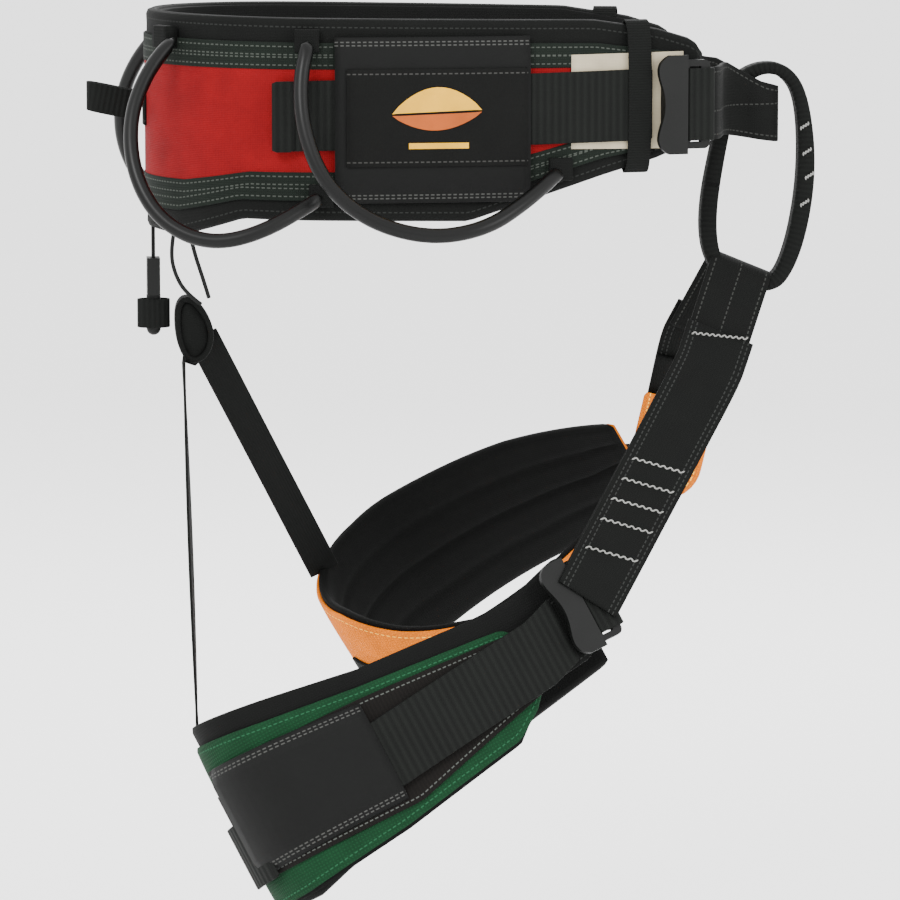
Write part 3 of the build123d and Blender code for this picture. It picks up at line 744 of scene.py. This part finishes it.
LEGS = {
    "right": {
        "hoop": Hoop(-89, 54, 438, (2, -96, -361), (0.883, 0, 0.469), (-0.45, 0.25, 0.86)),
        "sign": -1, "ends": (104, 104, 61, 100), "rear_end": -140, "backing_end": 56,
        "pocket_span": (-136, -44), "tail_span": (-86, 84), "strap_end": 3,
        "riser_foot": (-139.5, -8.0, 56.0),
        "liner_top": ([(-160, 62), (-134, 58), (-92, 51), (-35, 41), (37, 36), (66, 36), (104, 48)],
                      [(-160, 62), (-134, 58), (-92, 42), (-40, 24), (10, 20), (104, 26)]),
        "liner_base": ([(-160, -66), (-121, -66), (-51, -59), (32, -45), (62, -20), (104, 4)],
                       [(-160, -66), (-121, -66), (-100, -60), (-40, -46), (40, -33), (104, -24)]),
        "shell_top": ([(-160, 50), (-98, 39), (-40, 31), (52, 22), (61, 13)],
                      [(-160, 50), (-110, 42), (-40, 20), (30, 17), (100, 20)]),
        "shell_base": ([(-160, -64), (-121, -64), (-51, -57), (32, -43), (50, -31), (61, -18)],
                       [(-160, -64), (-121, -64), (-100, -58), (-40, -43), (40, -30), (100, -22)]),
        "backing": ([(-160, 32), (-98, 26), (-42, 24), (56, 17)],
                    [(-160, -44), (-121, -46), (-37, -48), (56, -24)]),
        "web": ([(-130, 14), (-44, 8), (64, 19), (100, 30)],
                [(-130, -30), (-42, -35), (90, -18), (100, -12)]),
        "pocket": ([(-137, 30), (-44, 22)], [(-135, -42.5), (-43, -43)]),
        "tail": ([(-88, 8), (-44, 7.5), (64, 18.6), (84, 26)],
                 [(-88, -34), (-43, -35), (64, -23), (84, -16)]),
        "buckle": (98, 14), "material": green, "slot": "green_fabric",
    },
    "left": {
        "hoop": Hoop(-52, 64, 248, (62, 112, -301), (0.864, -0.10, 0.481), (-0.46, -0.44, 0.77)),
        "sign": 1, "ends": (103, 98, 101, 98), "rear_end": -112, "backing_end": 36,
        "pocket_span": (-107, -30), "tail_span": (-50, 58), "strap_end": 9,
        "riser_foot": (-108.6, 23.0, 42.0),
        "liner_top": ([(-130, 46), (-82, 42), (-26, 45), (32, 49), (103, 49)],
                      [(-130, 46), (-107, 48), (-78, 33), (-31, 13), (10, 14), (98, 20)]),
        "liner_base": ([(-130, -70), (-57, -72), (29, -53), (75, -35), (103, -10)],
                       [(-130, -70), (-78, -60), (-31, -42), (40, -30), (98, -16)]),
        "shell_top": ([(-130, 44), (-82, 37), (-26, 36), (28, 39), (98, 46)],
                      [(-130, 44.5), (-107, 46.5), (-78, 32), (-31, 12.5), (10, 13.5), (98, 18)]),
        "shell_base": ([(-130, -68), (-57, -68), (25, -49), (75, -32), (102, -8)],
                       [(-130, -68), (-78, -57), (-31, -39), (40, -27), (98, -13)]),
        "backing": ([(-130, 22), (-50, 19), (36, 16)], [(-130, -46), (-40, -46), (36, -28)]),
        "web": ([(-130, 10), (-60, 2), (30, 10), (74, 14)], [(-130, -34), (-60, -42), (30, -34), (74, -30)]),
        "pocket": ([(-108, 24), (-30, 18)], [(-108, -48), (-30, -48)]),
        "tail": ([(-51, 2), (30, 10), (58, 13)], [(-51, -42), (30, -34), (58, -31)]),
        "buckle": (72, -9), "material": orange, "slot": "orange_fabric",
    },
}


def quilt(share, run, out):
    """Sewn channels along the inner face of a leg loop."""
    groove = np.clip(1 - np.abs(((share * 4) % 1) - 0.5) * 2, 0, 1)
    return np.where(out, 0.0, 1.8 * (1 - np.sqrt(np.clip(groove * 2, 0, 1))))


for side, leg in LEGS.items():
    hoop, sign = leg["hoop"], leg["sign"]
    outer_end, inner_end, shell_end, inner_shell_end = leg["ends"]

    def both(pair):
        return two_edges(pair[0], pair[1]) if sign < 0 else two_edges(pair[1], pair[0])

    def ends(out_x, in_x):
        a, b = hoop.run_at(out_x, sign), hoop.run_at(in_x, -sign)
        return min(a, b), max(a, b)

    body = f"{side}_leg"
    liner = hoop.strip(f"leg_liner_{side}", *ends(outer_end, inner_end), both(leg["liner_top"]),
                       both(leg["liner_base"]), -6.0, 0.0, radius=2.8, faces=48, ends=10, lift=quilt,
                       material=mesh_cloth, slot="black_mesh", step=4)
    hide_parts(f"leg_liner_{side}")
    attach(liner, body)
    shell = hoop.strip(f"leg_shell_{side}", *ends(shell_end, inner_shell_end), both(leg["shell_top"]),
                       both(leg["shell_base"]), -0.2, 3.9, radius=2.0, faces=20, ends=8,
                       material=leg["material"], slot=leg["slot"], step=4,
                       lift=lambda share, run, out: np.where(out, -1.2 * np.abs(share * 2 - 1) ** 4, 0.0))
    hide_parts(f"leg_shell_{side}")
    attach(shell, body)

    def wall(key, x_from, x_to, inner, outer, material, slot, **options):
        """Ply on the outer wall of the leg loop."""
        name = f"leg_{key}_{side}"
        top_line, base_line = leg[key]
        piece = hoop.strip(name, hoop.run_at(x_from, sign), hoop.run_at(x_to, sign), edge(top_line),
                           edge(base_line), inner, outer, material=material, slot=slot, **options)
        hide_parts(name)
        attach(piece, body)

    rear_end = leg["rear_end"]
    buckle_x, buckle_z = leg["buckle"]
    wall("backing", rear_end, leg["backing_end"], 3.7, 5.2, backing_cloth, "dark_backing")
    wall("web", rear_end, buckle_x, 5.1, 7.2, web_cloth, "black_webbing")
    wall("pocket", *leg["pocket_span"], 5.1, 6.3, satin, "black_satin", faces=36, radius=0.5,
         lift=lambda share, run, out: 4.6 * np.clip(np.minimum(share, 1 - share) / 0.14, 0, 1) ** 0.7)
    wall("tail", *leg["tail_span"], 7.5, 9.6, ribbed, "black_webbing", ends=2, step=2, faces=14)
    inner_web = hoop.strip(f"leg_web_inner_{side}", hoop.run_at(rear_end, -sign), hoop.run_at(96, -sign),
                           edge([(-160, 8), (-60, 0), (20, 2), (96, 12)]),
                           edge([(-160, -30), (-60, -34), (20, -30), (96, -14)]),
                           4.0, 6.0, material=web_cloth, slot="black_webbing")
    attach(inner_web, body)

    axes = buckle_axes(hoop, buckle_x, buckle_z, sign, 4.0)
    strap_wrap(f"leg_strap_wrap_{side}", axes, body, f"leg_strap_wrap_{side}")

    # The strap starts on the bridge, turns gently and ends at the buckle's front bar.
    down, out = lean_axes(side)
    start = BRIDGE_MIDDLE + out * STRAP_MIDDLE + down * 42.5
    bend = start + down * 26
    origin, fore, normal, up = axes
    goal = origin + fore * leg["strap_end"] + normal * 13.4
    route = [start, start + down * 14, bend]
    if side == "left":
        rest = origin + fore * 44 + normal * 9
        route += [bend + (rest - bend) * 0.4, bend + (rest - bend) * 0.8, rest]
        route += [origin + fore * 24 + normal * 12, goal]
    else:
        route += [bend + (goal - bend) * 0.3, bend + (goal - bend) * 0.6, bend + (goal - bend) * 0.85, goal]

    def facing(t, s):
        """Strap's face: away from the bridge at its start, away from the leg at its end."""
        return out * (1 - s) + normal * s

    line = resample(rounded(route, 3), 3.0)
    ribbon(f"leg_strap_{side}", line, facing, np.linspace(44, 42, len(line)), 2.3, strap_web, "black_webbing",
           body, f"leg_strap_{side}", faces=14)
    second_ply = resample(line[int(len(line) * 0.24):-3] - out * 0.6, 3.0)
    ribbon(f"strap_inner_{side}", second_ply, facing, 43, 2.2, plain_web, "black_webbing", body, shift=-2.0,
           faces=8)

    if side == "left":
        tongue = resample(line[int(len(line) * 0.42):] - out * 1.5, 3.0)
        ribbon("leg_tongue_left", tongue, facing, 47, 3.0, orange, "orange_fabric", body, shift=-5.4, faces=8,
               ends=5, radius=1.4)

    # Bar tacks across the strap; the first one, on the bridge, is the longest.
    along = tangents(line)
    for k, share in enumerate((0.03, 0.50, 0.58, 0.66, 0.74, 0.84)):
        i = int(share * (len(line) - 1))
        t = along[i]
        n = facing(t, share)
        n = n - t * n.dot(t)
        n /= np.linalg.norm(n)
        width_way = np.cross(t, n)
        slant = width_way * 0.96 + t * 0.28
        bar_tack(f"strap_tack_{k}_{side}", line[i] + n * 1.15, slant / np.linalg.norm(slant), t, n,
                 34 if k else 36, 2.4, body, 15 if k else 19)

# ---- rear: hook strap, loop round the hook, junction and risers ----
HOOK_X = -169.5
ribbon("drop_strap", [(HOOK_X, 0, z) for z in (-72.5, -76, -80, -84, -88, -94)], lambda t, s: (-1, 0, 0),
       14, 2.0, web_cloth, "black_webbing", "rear_drop", "drop_strap")
oval = [(HOOK_X + 9.4 * math.cos(turn), 6.0 * math.sin(turn), -128)
        for turn in np.linspace(0, 2 * math.pi, 33)[:-1]]
ribbon("riser_loop", oval, lambda t, s: np.cross(t, (0, 0, 1.0)), 18, 1.5, ring_web, "black_webbing",
       "rear_drop", "riser_loop", closed=True)
JUNCTION = [(-157, 0, -118), (-146, 0, -114), (-131, 0, -136),
            (-134, 0, -156), (-147, 0, -163), (-156, 0, -148)]
fold = resample(rounded(JUNCTION, 3, closed=True), 2.0, closed=True)
hub = fold.mean(0)
ribbon("riser_junction", hub + (fold - hub) * 0.84, lambda t, s: np.cross(t, (0, 1.0, 0)) * -1, 18, 3.6,
       plain_web, "black_webbing", "right_leg", "riser_junction", closed=True, radius=1.5)
core = [(-150, 0, -119), (-149, 0, -124), (-146, 0, -134), (-144, 0, -146), (-145, 0, -154), (-147, 0, -160)]
ribbon("junction_core", core, lambda t, s: (1, 0, 0), [12, 15, 16.5, 16.5, 15, 11],
       np.array([8, 13, 19, 19, 14, 7]), web_cloth, "black_webbing", "right_leg", radius=5)


def riser(side, top, face):
    """Light strap from the junction down to the rear of a leg loop, with a slight twist."""
    leg = LEGS[side]
    foot = leg["hoop"].world(*leg["riser_foot"])
    top = np.array(top, float)
    line = [top + (foot - top) * s for s in np.linspace(0, 1, 30)]
    ribbon(f"riser_{side}", line, lambda t, s: face, 20, 1.6, plain_web, "black_webbing", f"{side}_leg",
           f"riser_{side}", twist=lambda s: 8 * math.sin(3 * s))


riser("right", (-151.5, -9.6, -156), (1, 0, 0))
riser("left", (-139, 11.5, -144), (0, -1, 0))

# rear flap of the right leg's tail
right_hoop = LEGS["right"]["hoop"]
flap = right_hoop.strip("tail_flap", right_hoop.run_at(-142.9, -1) - 4, right_hoop.run_at(-128, -1),
                        edge([(-160, -6), (0, -6)]), edge([(-160, -47), (0, -47)]), 7.4, 9.6, radius=0.9,
                        step=2, ends=2, material=ribbed, slot="black_webbing")
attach(flap, "right_leg")

# ---- studio ----
stage = bpy.data.meshes.new("floor")
FLOOR_Z = -0.62
stage.from_pydata([(-30, -30, FLOOR_Z), (30, -30, FLOOR_Z), (30, 60, FLOOR_Z), (-30, 60, FLOOR_Z)], [],
                  [(0, 1, 2, 3)])
floor = bpy.data.objects.new("floor", stage)
bpy.context.scene.collection.objects.link(floor)
pale = Shader("pale floor")
pale.set(Base_Color=(0.92, 0.92, 0.92, 1), Roughness=0.9)
stage.materials.append(pale.material)
world = bpy.data.worlds.new("studio")
bpy.context.scene.world = world
world.use_nodes = True
world.node_tree.nodes["Background"].inputs[0].default_value = (1, 1, 1, 1)
world.node_tree.nodes["Background"].inputs[1].default_value = 2.6


def soft_light(name, place, size, power):
    light = bpy.data.lights.new(name, "AREA")
    light.size = size
    light.energy = power
    made = bpy.data.objects.new(name, light)
    made.location = place
    made.rotation_euler = (Vector((0, 0, -0.2)) - Vector(place)).to_track_quat("-Z", "Y").to_euler()
    bpy.context.scene.collection.objects.link(made)


soft_light("key", (-1.2, -2.2, 1.6), 1.0, 80)
soft_light("fill", (1.8, -1.8, 0.6), 1.2, 30)
soft_light("rim", (0.4, 2.0, 1.4), 1.0, 50)
